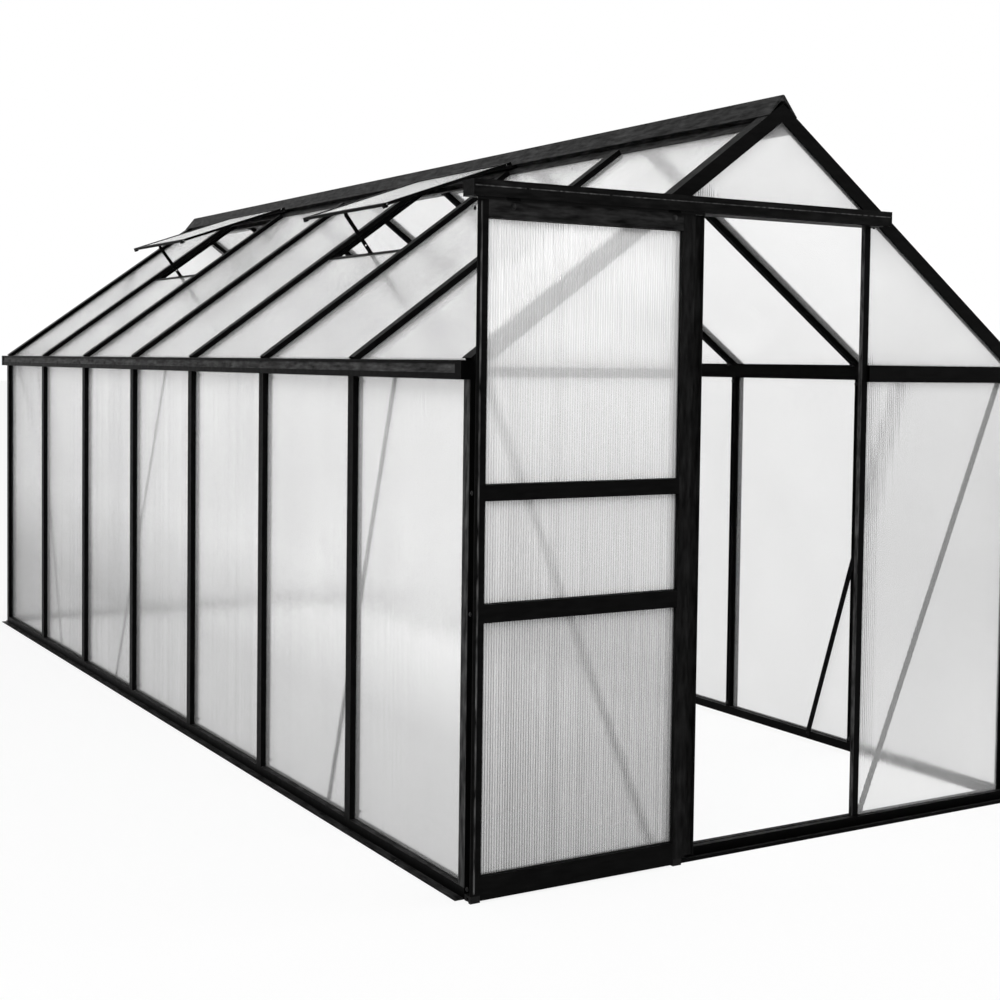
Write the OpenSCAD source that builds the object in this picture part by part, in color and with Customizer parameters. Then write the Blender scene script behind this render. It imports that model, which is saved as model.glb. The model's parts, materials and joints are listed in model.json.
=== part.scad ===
// Free-standing greenhouse: an aluminium frame of extruded profiles glazed with
// polycarbonate sheets, with a top-hung sliding door and two propped roof vents.
// X runs across the gable, Y along the ridge with the door at the low end, Z up.
// The origin is on the ground at the centre of the whole outline.

/* [Overall] */
// Width over the foot flanges and the gutters
overall_w = 1900; // [1700:10:2400]
// Number of bays along each side wall
bays = 7; // [6:1:9]
// Distance between the centre lines of neighbouring side posts
bay = 630; // [480:5:760]
// Height of the underside of the gutters above the ground
eave_h = 1222; // [1000:1:1500]
// Slope of the roof in degrees
pitch = 36; // [33:0.5:40]
// Height of the underside of the cross bar over the doorway
head_h = 1642; // [1500:1:1700]
// Distance between the centre lines of the two posts beside the doorway
door_bay = 630; // [560:5:700]

/* [Sheets] */
// Thickness of the polycarbonate sheets
sheet_t = 4; // [3:0.5:6]
// Clearance between a sheet's face and its channel
sheet_fit = 0.3; // [0.2:0.1:0.6]
// Depth of the channels that hold the sheets
groove = 13; // [9:1:16]

/* [Profiles] */
// Wall thickness of the extruded profiles
skin = 1.8; // [1.2:0.1:2.4]
// Width of the posts and roof bars
bar_w = 33; // [28:1:40]
// Height that posts and roof bars stand proud of the sheets
bar_proud = 16; // [12:1:24]
// Depth of the profiles on the inner side, from the middle of the sheet
inner_d = 17; // [14:1:24]
// Outer width of the bolt slot inside a post or roof bar
slot_w = 16; // [14:1:20]
// Width of the mouth of the bolt slot
slot_mouth = 6; // [5:0.5:8]
// Size of the square tube in a corner post
corner_w = 30; // [26:1:36]
// Width of the two slim posts beside the doorway
door_post_w = 20; // [16:1:33]
// Height that the slim posts stand proud of the sheets
door_post_proud = 8; // [6:1:16]
// Full depth of the gable rafters
rafter_d = 38; // [37:1:60]
// Height of the bars at eave height in the gables
gable_bar_h = 46; // [40:1:60]
// Height of the cross bar over the doorway
cross_bar_h = 38; // [36:1:60]
// Height of the slim eave bar behind the open door
slim_bar_h = 24; // [20:1:40]

/* [Ground frame] */
// Height of the base rails
base_h = 27; // [24:1:70]
// Width of the foot flanges outside the walls
foot_w = 25; // [20:1:40]
// Thickness of the foot flanges
foot_t = 2.2; // [1.6:0.2:4]
// Radius of the anchor holes in the side flanges
anchor_r = 4; // [3:0.5:6]
// Height of the guide lip on the front flange
guide_h = 9; // [6:1:12]

/* [Eaves and ridge] */
// Height of the outer lip of the gutters
gutter_h = 45; // [36:1:46]
// Height of the overhanging lip along a gutter's top edge
gutter_lip_h = 8; // [5:1:12]
// Height of the upright foot of a gutter's outer face, below its leaning part
gutter_foot_h = 15; // [8:1:20]
// Distance the leaning face goes back at its top
gutter_lean = 3; // [0:0.5:4]
// Length of the end caps on the gutters
gutter_cap_len = 30; // [15:1:60]
// Height of the rafters' outer faces over the gutter underside, at the wall faces
eave_rise = 50; // [50:1:80]
// Gap between the feet of the roof bars and the outer faces of the gutters
foot_back = 26; // [20:1:34]
// Height of the ridge crest over the rafters' outer faces
crest_h = 23; // [18:1:40]
// Radius of the ridge crest
crest_r = 8; // [6:0.5:12]
// Reach of the ridge cap down each slope
cap_reach = 58; // [50:1:80]
// Reach of the flange that holds the roof sheets at the ridge
ridge_reach = 95; // [80:1:140]
// Depth of the ridge web below the rafters' outer faces
ridge_d = 72; // [60:1:110]

/* [Braces] */
// Width of the flat braces
brace_w = 20; // [14:1:30]
// Thickness of the flat braces
brace_t = 2; // [1.5:0.5:4]
// Shift along the wall of the first brace's top end from the post it crosses
first_lean = 200; // [120:10:280]
// Shift along the wall of the middle brace's top end from the post it crosses
middle_lean = 295; // [120:10:300]

/* [Door] */
// Overlap of the closed door over each side of the doorway
door_lap = 22; // [20:1:50]
// Thickness of the sliding door
door_t = 28; // [24:1:36]
// Gap between the front gable and the back of the door
door_gap = 12; // [8:1:20]
// Height of the door's lower edge above the ground
door_low = 18; // [17:1:30]
// Width of the door's outer stile, across its front flange
stile_w = 28; // [24:1:40]
// Width of the hollow part of the outer stile
stile_box_w = 14; // [14:1:22]
// Width of the hollow part of the closing stile
close_box_w = 37; // [30:1:60]
// Width of the closing stile's flange
close_flange_w = 31; // [15:1:50]
// Gap between the door's outer edge and the end of the track when it is open
door_back = 18; // [10:1:40]
// Height of the door's top rail
top_rail_h = 42; // [30:1:60]
// Height of the door's bottom rail, with its skirt
bottom_rail_h = 56; // [45:1:90]
// Heights of the lower edges of the two middle rails above the ground
middle_rail_z = [657, 941];
// Heights of the two middle rails themselves
middle_rail_h = [43, 38];
// Depth of the sheet grooves in the door frame
door_groove = 10; // [8:1:12]

/* [Door track] */
// Height of the track hood's front lip
hood_h = 38; // [30:1:50]
// Height of the raised band along the hood's top edge
hood_band_h = 13; // [8:1:20]
// Reach of the hood in front of the door
hood_reach = 12; // [10:1:16]
// Running gap between the door and the track above it
track_gap = 6; // [5:1:10]
// Radius of the rollers in their groove
roller_r = 11; // [9:0.5:12]
// Distance of the hangers from the door's edges
hanger_in = 95; // [60:5:150]

/* [Roof vents] */
// Bays of the left slope that have a vent, counted from the front
vent_bays = [3, 6];
// Length of a vent from its hinge to its lower edge
vent_len = 505; // [400:5:700]
// Angle at which the vents stand open
vent_open = 16.5; // [5:0.5:30]
// Height of the vent frame profiles
vent_frame_h = 10; // [9:1:20]
// Width of the vent frame profiles
vent_frame_w = 20; // [14:1:30]
// Length of the stays that prop the vents
stay_len = 420; // [300:5:480]

/* [Hidden] */
$fn = 48;

coat = [0.06, 0.06, 0.065];
clear_sheet = [0.92, 0.94, 0.95, 0.55];
zinc = [0.62, 0.63, 0.65];
nylon = [0.16, 0.16, 0.17];

// Clearance at a seat that isn't a plain flat contact
seat = 0.3;
// Overlap that fuses the parts of one profile
weld = 0.2;
// Overshoot of a cut past the face it opens
cut = 1;
// Half the width of a channel, and the outer faces of the lips beside it
half_groove = sheet_t / 2 + sheet_fit;
lip = half_groove + skin;
// Outer face of the profiles, from the middle of the sheet
outer_u = half_groove + bar_proud;
// Web between the two channels of a bar
web_t = 3;
// Room between a sheet's edge and what it faces
edge_gap = 1;
// Depth to which a sheet enters a channel
bite = groove - 2 * edge_gap;

// Distances of the walls' outer faces and of the side sheets from the centre line
half_w = overall_w / 2 - foot_w;
sheet_x = half_w - outer_u;
gutter_u = overall_w / 2 - sheet_x;
// Thickness of the gutters' end caps over the outer faces
gutter_cap_t = 1;
post_x = door_bay / 2;
door_w = 2 * (post_x - door_post_w / 2 + door_lap);

track_out = door_gap + door_t + hood_reach;
wall_len = bays * bay + bar_w;
// Outer faces of the gables; the outline is centred between hood and rear flange
y_front = track_out - (track_out + wall_len + foot_w) / 2;
y_rear = y_front + wall_len;
y_front_sheet = y_front + outer_u;
y_rear_sheet = y_rear - outer_u;
first_post_y = y_front + bar_w / 2;

// Where the rafters' outer faces meet, and how far the bars run down from there
apex_h = eave_h + eave_rise + half_w * tan(pitch);
foot_s = (overall_w / 2 - foot_back) / cos(pitch);
// Distance between a roof sheet's upper edge and the ridge web
ridge_room = 6;
// Distances that the roof sheets and the bolt slots end short of the bars' feet
sheet_back = 8;
slot_back = 4;
roof_sheet_top = (web_t / 2 + outer_u * sin(pitch)) / cos(pitch) + ridge_room;
roof_sheet_low = foot_s - sheet_back;
slot_low = (sheet_x - inner_d) / cos(pitch) - slot_back + outer_u * tan(pitch);
// Outward coordinates on a slope, from the rafters' outer faces
sheet_top_t = -bar_proud - sheet_fit;
bar_under_t = -outer_u - lip;
leg_end_t = -rafter_d - seat;
// Gable rafter: drop of its front skirt past the channel legs, and the depth of that channel
skirt_past = 7;
rafter_groove = 6.5;
rafter_leg_d = rafter_d - skirt_past;
rafter_box_d = rafter_leg_d - rafter_groove;
// Reach of a gable rafter with its roof channel, from the gable's outer face
rafter_reach = corner_w + groove + seat;
ridge_seat_t = bar_under_t - seat;
// Overhang of the ridge cap past its side leg, and of the seats past the cap
cap_overhang = 12;
seat_past = 2;
cap_side_s = cap_reach - cap_overhang;
lower_plate_s = cap_reach + seat_past;

cross_top = head_h + cross_bar_h;
eave_top = eave_h + gable_bar_h;
// Rise of the slim bar over the gutter's underside, and the solid core between its channels
slim_rise = 6;
slim_core = 6;
slim_z = eave_h + slim_rise;
slim_groove = (slim_bar_h - slim_core) / 2;
eave_end_x = sheet_x - inner_d - seat;
// Distance of the first sheets' edges from the outer corner
corner_sheet_gap = outer_u + inner_d + edge_gap / 2;

// The open door's outer edge and its closing edge
door_x0 = -overall_w / 2 + door_back;
door_x1 = door_x0 + door_w;
// Inner edges of the two stiles, between which the rails run
rail_x0 = door_x0 + stile_w;
rail_x1 = door_x1 - close_flange_w - close_box_w;
door_top = head_h - track_gap;
door_mid_v = door_gap + door_t / 2;
door_front_v = door_gap + door_t;
// Thickness of the guide lip on the front flange
guide_t = 2;
// The front flange reaches out under the whole guide lip
front_foot_w = max(foot_w, door_mid_v + guide_t / 2);
// Height of the lower edge of the bottom rail's skirt
skirt_low = 5;

// Wall of the track, thickness of its end plates, and how far it runs past the closed door
track_t = 2;
track_end_t = 3;
track_past = 17;
track_x0 = -overall_w / 2;
track_x1 = door_w / 2 + track_past;
// Setback of the hood's lower band behind its raised band
hood_step = 1.2;
// The running shelf reaches past the bead by this much, and the bead rises by this much
shelf_past = 6;
bead_rise = 7;
track_shelf_v = door_mid_v + shelf_past;
bead_top = head_h + bead_rise;
roller_z = bead_top + seat + roller_r;
// Rise of the rollers' flanges beside the bead
roller_flange = 2;

// Play round the hinge bead of a vent
hinge_play = 0.8;
hinge_r = (bar_proud - skin - sheet_fit - 2 * seat) / 2 - hinge_play;
hinge_t = sheet_top_t + sheet_fit + skin + seat + hinge_r;
hinge_s = cap_side_s + seat + hinge_r;
// Overlap of a closed vent over its sill, and the sill's width down the slope
vent_lap = 30;
sill_w = 12;
sill_s = hinge_s + vent_len - vent_lap;
// Pins that carry a stay, and the holes they sit in
pin_r = 2.5;
pin_hole_r = 2.8;
pin_len = 14;
stay_w = 14;
stay_t = 2.5;
// Distance between the holes of a stay
hole_step = 30;

// ---------- helpers ----------

function post_y(k) = first_post_y + k * bay;

// A point of a slope's section, s down the slope and t outward, from the apex
function slope_pt(s, t) = [s * cos(pitch) + t * sin(pitch), -s * sin(pitch) + t * cos(pitch)];

// Height of the plane at depth t under the rafters' outer faces, x from the centre line
function slope_z(x, t) = apex_h - x * tan(pitch) + t / cos(pitch);

module box2(x0, x1, y0, y1) {
  translate([x0, y0])
    square([x1 - x0, y1 - y0]);
}

// Extrudes a section drawn in X and Z along Y
module along_y(y0, y1) {
  translate([0, y1, 0])
    rotate([90, 0, 0])
      linear_extrude(height = y1 - y0)
        children();
}

// Extrudes a section drawn in Y and Z along X
module along_x(x0, x1) {
  translate([x0, 0, 0])
    rotate([90, 0, 90])
      linear_extrude(height = x1 - x0)
        children();
}

// Extrudes a section drawn in X and Y along Z
module along_z(z0, z1) {
  translate([0, 0, z0])
    linear_extrude(height = z1 - z0)
      children();
}

// Side wall frame: X outward from the middle of the sheets
module at_wall(side) {
  mirror([side < 0 ? 1 : 0, 0, 0])
    translate([sheet_x, 0, 0])
      children();
}

// Gable frame: Y outward from the middle of the sheets
module at_gable(end) {
  translate([0, end < 0 ? y_front_sheet : y_rear_sheet, 0])
    mirror([0, end < 0 ? 1 : 0, 0])
      children();
}

// Door frame: Y outward from the front gable's outer face
module at_front() {
  translate([0, y_front, 0])
    mirror([0, 1, 0])
      children();
}

// Slope frame: X down the slope, Z outward from the rafters' outer faces
module on_slope(side) {
  mirror([side < 0 ? 1 : 0, 0, 0])
    translate([0, 0, apex_h])
      rotate([0, pitch, 0])
        children();
}

// Everything on the slopes above depth t, for trimming what ends under a rafter
module above_slope(t) {
  for (side = [-1, 1])
    on_slope(side)
      translate([-overall_w, -wall_len, t])
        cube([3 * overall_w, 2 * wall_len, overall_w]);
}

// ---------- profiles ----------

// Post and roof bar: hollow outer box, channels for the sheets on both sides
module bar_profile() {
  difference() {
    box2(-bar_w / 2, bar_w / 2, half_groove, outer_u);
    box2(-bar_w / 2 + skin, bar_w / 2 - skin, half_groove + skin, outer_u - skin);
  }
  box2(-web_t / 2, web_t / 2, -half_groove - weld, half_groove + weld);
  inner_lip();
}

module inner_lip() {
  box2(-bar_w / 2, bar_w / 2, -lip, -half_groove);
}

// Bolt slot that faces the inside of the greenhouse
module bolt_slot() {
  for (side = [-1, 1])
    scale([side, 1])
      union() {
        box2(slot_w / 2 - skin, slot_w / 2, -inner_d, -lip + weld);
        box2(slot_mouth / 2, slot_w / 2, -inner_d, -inner_d + skin);
      }
}

// Hollow rail with a sheet channel in its top edge and, if wanted, its lower edge
module rail_profile(h, depth, lower) {
  difference() {
    union() {
      difference() {
        box2(-inner_d, outer_u, 0, h);
        box2(-inner_d + skin, outer_u - skin, skin, h - skin);
      }
      box2(-lip, lip, h - depth - skin, h);
      if (lower)
        box2(-lip, lip, 0, depth + skin);
    }
    box2(-half_groove, half_groove, h - depth, h + cut);
    if (lower)
      box2(-half_groove, half_groove, -cut, depth);
  }
}

// Base rail with its foot flange
module base_profile() {
  rail_profile(base_h, groove, false);
  box2(outer_u - weld, outer_u + foot_w, 0, foot_t);
}

// Outer face of a gutter: upright foot, leaning middle and overhanging lip
module gutter_face(u) {
  lip_z = gutter_h - gutter_lip_h;
  polygon([[u - skin, 0], [u, 0], [u, gutter_foot_h], [u - gutter_lean, lip_z], [u, lip_z],
    [u, gutter_h], [u - gutter_lean - 2 * skin, gutter_h], [u - gutter_lean - 2 * skin, gutter_h - skin],
    [u - gutter_lean - skin, gutter_h - skin], [u - gutter_lean - skin, lip_z],
    [u - skin, gutter_foot_h]]);
}

// Gutter with the wall sheets' channel below and a sloping seat for the roof bars
module gutter_profile() {
  function seat_z(u) = slope_z(sheet_x + u, ridge_seat_t) - eave_h;
  drop = skin / cos(pitch);
  difference() {
    union() {
      box2(-inner_d, gutter_u - gutter_cap_t, 0, skin);
      box2(-lip, lip, 0, groove + skin);
      gutter_face(gutter_u - gutter_cap_t);
      polygon([[-inner_d, 0], [-inner_d + skin, 0],
        [-inner_d + skin, seat_z(-inner_d + skin)], [-inner_d, seat_z(-inner_d)]]);
      polygon([[half_groove, 0], [lip, 0], [lip, seat_z(lip)], [half_groove, seat_z(half_groove)]]);
      polygon([[-inner_d, seat_z(-inner_d)], [lip, seat_z(lip)],
        [lip, seat_z(lip) - drop], [-inner_d, seat_z(-inner_d) - drop]]);
    }
    box2(-half_groove, half_groove, -cut, groove);
  }
}

// End cap of a gutter: a shell over its outer face
module gutter_cap_profile() {
  box2(gutter_u - gutter_cap_t - skin, gutter_u, 0, gutter_h);
}

// Slim post, closed towards the doorway and with one channel for the sheets beside it
module door_post_profile() {
  half = door_post_w / 2;
  difference() {
    box2(-half, half, half_groove, half_groove + door_post_proud);
    box2(skin - half, half - skin, half_groove + skin, half_groove + door_post_proud - skin);
  }
  box2(-half, skin - half, -lip, half_groove + weld);
  box2(-half, half, -lip, -half_groove);
}

// Gable rafter, drawn from the gable's outer face: box with a skirt in front and a cover
// flange behind, roof channel, gable channel
module rafter_profile() {
  difference() {
    box2(0, corner_w, -rafter_box_d, 0);
    box2(skin, corner_w - skin, -rafter_box_d + skin, -skin);
  }
  box2(0, skin, -rafter_d, -rafter_box_d + weld);
  for (t = [-skin, -bar_proud, -outer_u - half_groove - skin])
    box2(corner_w - weld, corner_w + groove, t, t + skin);
  for (w = [outer_u - lip, outer_u + half_groove])
    box2(w, w + skin, -rafter_leg_d, -rafter_box_d + weld);
}

// Corner post, drawn from the outer corner: square tube and a channel each way
module corner_profile() {
  difference() {
    square(corner_w);
    translate([skin, skin])
      square(corner_w - 2 * skin);
  }
  for (w = [outer_u - lip, outer_u + half_groove]) {
    box2(corner_w - weld, corner_sheet_gap + bite, w, w + skin);
    box2(w, w + skin, corner_w - weld, corner_w + groove);
  }
}

// Ridge cap over the rafters: a round crest with a steep flank on each side
module ridge_cap_profile() {
  crest_z = crest_h - crest_r;
  // Shares of the crest's radius at which the flanks leave it and meet inside it
  flank_x = 0.8;
  flank_z = 0.55;
  inner_z = 0.2;
  edge_land = 2;
  translate([0, crest_z])
    circle(r = crest_r);
  for (side = [-1, 1])
    scale([side, 1])
      polygon([
        [0, crest_z + crest_r * flank_z], [crest_r * flank_x, crest_z + crest_r * flank_z],
        slope_pt(cap_reach, seat + skin), slope_pt(cap_reach, seat),
        slope_pt(cap_reach - edge_land, seat), [0, crest_z - crest_r * inner_z]
      ]);
}

// Ridge beam between the rafters: web, sheet flanges above and seats below
module ridge_body_profile() {
  web_top = crest_h - crest_r;
  flange_t = sheet_top_t + seat;
  flange_s = 2 * ridge_room;
  seat_s = 3 * ridge_room;
  // The legs run up into the cap, whose underside rises towards the crest
  leg_into = 3;
  leg_top = seat + skin + leg_into;
  foot_half = 12;
  box2(-web_t / 2, web_t / 2, -ridge_d, web_top);
  box2(-foot_half, foot_half, -ridge_d, -ridge_d + skin);
  for (side = [-1, 1])
    scale([side, 1])
      union() {
        polygon([slope_pt(flange_s, flange_t), slope_pt(ridge_reach, flange_t),
          slope_pt(ridge_reach, flange_t + skin), slope_pt(flange_s - edge_gap, flange_t + skin)]);
        polygon([slope_pt(cap_side_s - skin, flange_t + weld), slope_pt(cap_side_s, flange_t + weld),
          slope_pt(cap_side_s, leg_top), slope_pt(cap_side_s - skin, leg_top + edge_gap)]);
        polygon([slope_pt(seat_s, ridge_seat_t - skin), slope_pt(lower_plate_s, ridge_seat_t - skin),
          slope_pt(lower_plate_s, ridge_seat_t), slope_pt(seat_s - edge_gap, ridge_seat_t)]);
      }
}

// ---------- ground frame ----------

// One base rail along Y, mitred at both ends, from its outer corner at y = 0
module base_rail(length) {
  difference() {
    along_y(0, length)
      base_profile();
    along_z(-cut, base_h + cut)
      for (end = [0, 1])
        translate([0, end * length])
          mirror([0, end])
            polygon([[outer_u, -cut], [outer_u, 0], [-2 * inner_d, outer_u + 2 * inner_d],
              [-2 * inner_d, -cut]]);
  }
}

module side_base(side) {
  difference() {
    at_wall(side)
      translate([0, y_front, 0])
        base_rail(wall_len);
    for (k = [0.5, 2.5, bays - 2.5, bays - 0.5])
      translate([side * (half_w + foot_w / 2), post_y(k), -cut])
        cylinder(h = foot_t + 2 * cut, r = anchor_r);
  }
}

module end_base(end) {
  at_gable(end)
    translate([half_w, 0, 0])
      rotate([0, 0, 90])
        base_rail(2 * half_w);
}

module base_left() {
  color(coat)
    side_base(-1);
}

module base_right() {
  color(coat)
    side_base(1);
}

// The front flange carries the lip that the door's floor guides straddle
module base_front() {
  color(coat) {
    end_base(-1);
    at_front() {
      translate([-half_w, 0, 0])
        cube([2 * half_w, front_foot_w, foot_t]);
      translate([-half_w, door_mid_v - guide_t / 2, 0])
        cube([2 * half_w, guide_t, guide_h]);
    }
  }
}

module base_rear() {
  color(coat)
    end_base(1);
}

// ---------- uprights ----------

module corner_posts() {
  color(coat)
    for (side = [-1, 1], end = [-1, 1])
      translate([side * half_w, end < 0 ? y_front : y_rear, 0])
        scale([-side, -end, 1])
          along_z(base_h, eave_h)
            corner_profile();
}

module wall_posts(side) {
  for (k = [1 : bays - 1])
    at_wall(side)
      translate([0, post_y(k), 0])
        rotate([0, 0, -90])
          along_z(base_h, eave_h) {
            bar_profile();
            bolt_slot();
          }
}

module left_wall_posts() {
  color(coat)
    wall_posts(-1);
}

module right_wall_posts() {
  color(coat)
    wall_posts(1);
}

module door_posts() {
  color(coat)
    for (side = [0, 1])
      at_gable(-1)
        mirror([side, 0, 0])
          translate([post_x, 0, 0])
            along_z(base_h, head_h)
              door_post_profile();
}

module rear_gable_posts() {
  color(coat)
    difference() {
      for (side = [-1, 1])
        at_gable(1)
          translate([side * post_x, 0, 0])
            along_z(base_h, apex_h) {
              bar_profile();
              bolt_slot();
            }
      above_slope(leg_end_t);
    }
}

// ---------- eaves, cross bar and ridge ----------

// Space that the gable rafters and their channels take over a gutter's end
module rafter_space(side) {
  for (end = [-1, 1])
    translate([0, end < 0 ? y_front - cut : y_rear - corner_w - seat, 0])
      on_slope(side)
        translate([0, 0, leg_end_t])
          cube([foot_s + seat, corner_w + seat + cut, 2 * rafter_d]);
}

module gutter(side) {
  difference() {
    at_wall(side)
      translate([0, 0, eave_h]) {
        along_y(y_front, y_rear)
          gutter_profile();
        for (y = [y_front, y_rear - skin])
          along_y(y, y + skin)
            box2(lip - weld, gutter_u, 0, gutter_h);
        for (y = [y_front, y_rear - gutter_cap_len])
          along_y(y, y + gutter_cap_len)
            gutter_cap_profile();
      }
    rafter_space(side);
  }
}

module left_gutter() {
  color(coat)
    gutter(-1);
}

module right_gutter() {
  color(coat)
    gutter(1);
}

// One gable bar between two values of x, trimmed under the rafters
module gable_bar(end, x0, x1, z, h, depth) {
  difference() {
    at_gable(end)
      along_x(x0, x1)
        translate([0, z])
          rail_profile(h, depth, true);
    above_slope(leg_end_t);
  }
}

module front_eave_bars() {
  inner = post_x + door_post_w / 2;
  color(coat) {
    gable_bar(-1, inner, eave_end_x, eave_h, gable_bar_h, groove);
    gable_bar(-1, -eave_end_x, -inner, slim_z, slim_bar_h, slim_groove);
  }
}

module rear_eave_bars() {
  inner = post_x + bar_w / 2;
  color(coat) {
    gable_bar(1, inner, eave_end_x, eave_h, gable_bar_h, groove);
    gable_bar(1, -eave_end_x, -inner, eave_h, gable_bar_h, groove);
    gable_bar(1, bar_w / 2 - post_x, post_x - bar_w / 2, eave_h, gable_bar_h, groove);
  }
}

module front_cross_bar() {
  color(coat)
    gable_bar(-1, -half_w, half_w, head_h, cross_bar_h, groove);
}

module ridge_beam() {
  color(coat)
    translate([0, 0, apex_h]) {
      along_y(y_front, y_rear)
        ridge_cap_profile();
      along_y(y_front + rafter_reach, y_rear - rafter_reach)
        ridge_body_profile();
    }
}

// ---------- roof ----------

module rafters(end) {
  for (side = [-1, 1])
    difference() {
      translate([0, end < 0 ? y_front : y_rear, 0])
        mirror([0, end < 0 ? 0 : 1, 0])
          on_slope(side)
            along_x(-rafter_d, foot_s)
              rafter_profile();
      translate([side < 0 ? -seat / 2 : seat / 2 - overall_w, -wall_len, 0])
        cube([overall_w, 2 * wall_len, 2 * apex_h]);
    }
}

module front_rafters() {
  color(coat)
    rafters(-1);
}

module rear_rafters() {
  color(coat)
    rafters(1);
}

// Roof bar: the outer box starts at the ridge flange, the inner lip runs under it
module roof_bar() {
  translate([0, 0, -outer_u]) {
    along_x(ridge_reach + seat, foot_s)
      bar_profile();
    along_x(roof_sheet_top, ridge_reach + 2 * edge_gap)
      inner_lip();
    along_x(lower_plate_s + edge_gap, slot_low)
      bolt_slot();
  }
}

module roof_bars(side) {
  for (k = [1 : bays - 1])
    on_slope(side)
      translate([0, post_y(k), 0])
        roof_bar();
}

module left_roof_bars() {
  color(coat)
    roof_bars(-1);
}

module right_roof_bars() {
  color(coat)
    roof_bars(1);
}

// ---------- sheets ----------

// The two edges of the sheet in bay b, counted from 1 at the front
function sheet_y0(b) = b == 1 ? y_front + corner_w + edge_gap : post_y(b - 1) + web_t / 2 + edge_gap;
function sheet_y1(b) = b == bays ? y_rear - corner_w - edge_gap : post_y(b) - web_t / 2 - edge_gap;

module wall_sheets(side) {
  for (b = [1 : bays])
    at_wall(side)
      translate([-sheet_t / 2, sheet_y0(b), base_h - groove + seat])
        cube([sheet_t, sheet_y1(b) - sheet_y0(b), eave_h + bite - base_h + groove - seat]);
}

module left_wall_sheets() {
  color(clear_sheet)
    wall_sheets(-1);
}

module right_wall_sheets() {
  color(clear_sheet)
    wall_sheets(1);
}

function has_vent(b) = len([for (v = vent_bays) if (v == b) v]) > 0;

module roof_sheets(side) {
  for (b = [1 : bays]) {
    s0 = side < 0 && has_vent(b) ? sill_s + skin + edge_gap : roof_sheet_top;
    on_slope(side)
      translate([s0, sheet_y0(b), sheet_top_t - sheet_t])
        cube([roof_sheet_low - s0, sheet_y1(b) - sheet_y0(b), sheet_t]);
  }
}

module left_roof_sheets() {
  color(clear_sheet)
    roof_sheets(-1);
}

module right_roof_sheets() {
  color(clear_sheet)
    roof_sheets(1);
}

// A gable sheet from an outline in X and Z, cut back under the rafters
module gable_sheet(end) {
  at_gable(end)
    along_y(-sheet_t / 2, sheet_t / 2)
      intersection() {
        children();
        polygon([[-half_w, 0], [half_w, 0],
          [half_w, slope_z(half_w, -rafter_box_d - edge_gap)], [0, slope_z(0, -rafter_box_d - edge_gap)],
          [-half_w, slope_z(half_w, -rafter_box_d - edge_gap)]]);
      }
}

post_side = post_x + web_t / 2 + edge_gap;
post_inside = post_x - web_t / 2 - edge_gap;
outer_side = half_w - corner_sheet_gap;
low_z = base_h - groove + seat;

module front_gable_sheets() {
  color(clear_sheet) {
    gable_sheet(-1)
      box2(post_side, outer_side, low_z, eave_h + bite);
    gable_sheet(-1)
      box2(-outer_side, -post_side, low_z, slim_z + slim_groove - 2 * edge_gap);
    gable_sheet(-1)
      box2(post_side, outer_side, eave_top - groove + seat, head_h + bite);
    gable_sheet(-1)
      box2(-outer_side, -post_side, slim_z + slim_bar_h - slim_groove + seat, head_h + bite);
    gable_sheet(-1)
      box2(-half_w, half_w, cross_top - groove + seat, apex_h);
  }
}

module rear_gable_sheets() {
  color(clear_sheet) {
    gable_sheet(1)
      box2(-post_inside, post_inside, low_z, eave_h + bite);
    gable_sheet(1)
      box2(-post_inside, post_inside, eave_top - groove + seat, apex_h);
    for (side = [0, 1])
      gable_sheet(1)
        mirror([side, 0]) {
          box2(post_side, outer_side, low_z, eave_h + bite);
          box2(post_side, outer_side, eave_top - groove + seat, apex_h);
        }
  }
}

// ---------- braces ----------

// How far the braces' ends pass behind the base rails and the gutters
brace_drop = 18;
brace_rise = 16;
brace_low = base_h - brace_drop;
brace_high = eave_h + brace_rise;

// A flat strip in the Y-Z plane between two points [y, z]
module strip(a, b) {
  run = b - a;
  translate([-inner_d - seat - brace_t, a[0], a[1]])
    rotate([atan2(run[1], run[0]), 0, 0])
      translate([0, 0, -brace_w / 2])
        cube([brace_t, norm(run), brace_w]);
}

// Each wall brace crosses one post: [post, shift of its top end]
wall_braces = [[1, -first_lean], [4, -middle_lean], [bays - 1, first_lean]];

module side_braces(side) {
  for (b = wall_braces)
    at_wall(side)
      strip([post_y(b[0]) - b[1], brace_low], [post_y(b[0]) + b[1], brace_high]);
}

module left_wall_braces() {
  color(coat)
    side_braces(-1);
}

module right_wall_braces() {
  color(coat)
    side_braces(1);
}

// From the corner under the eave bar to the foot of the inner post
module end_braces(end) {
  for (side = [0, 1])
    at_gable(end)
      mirror([side, 0, 0])
        rotate([0, 0, 90])
          strip([-eave_end_x + brace_w, eave_h + brace_rise - 2 * edge_gap],
            [-post_x - bar_w, brace_low]);
}

module front_gable_braces() {
  color(coat)
    end_braces(-1);
}

module rear_gable_braces() {
  color(coat)
    end_braces(1);
}

// ---------- roof vents ----------

vent_w = bay - 4 * edge_gap;
// Thickness of the plate that joins a vent to its hinge bead, and its place from the hinge
hinge_plate_t = 3;
riser_x = 12;
frame_z = hinge_r + hinge_plate_t;
// Ears that hold the pins, beside the stay
ear_gap = 1.5;
ear_t = 2;
ear_w = 10;
ear_y = stay_t / 2 + ear_gap;
pivot_x = vent_len - stay_w;
pivot_z = frame_z - stay_w / 2 - edge_gap;
pin_s = sill_s - stay_w / 2 - edge_gap;
pin_t = -outer_u;
// Corner blocks under the lower corners of a vent
block_w = 14;
block_drop = 6;

// Vent frame of reference: X from the hinge to the lower edge, Z outward
module in_vent(b) {
  on_slope(-1)
    translate([hinge_s, post_y(b - 1) + (bay - vent_w) / 2, hinge_t])
      rotate([0, -vent_open, 0])
        children();
}

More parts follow.
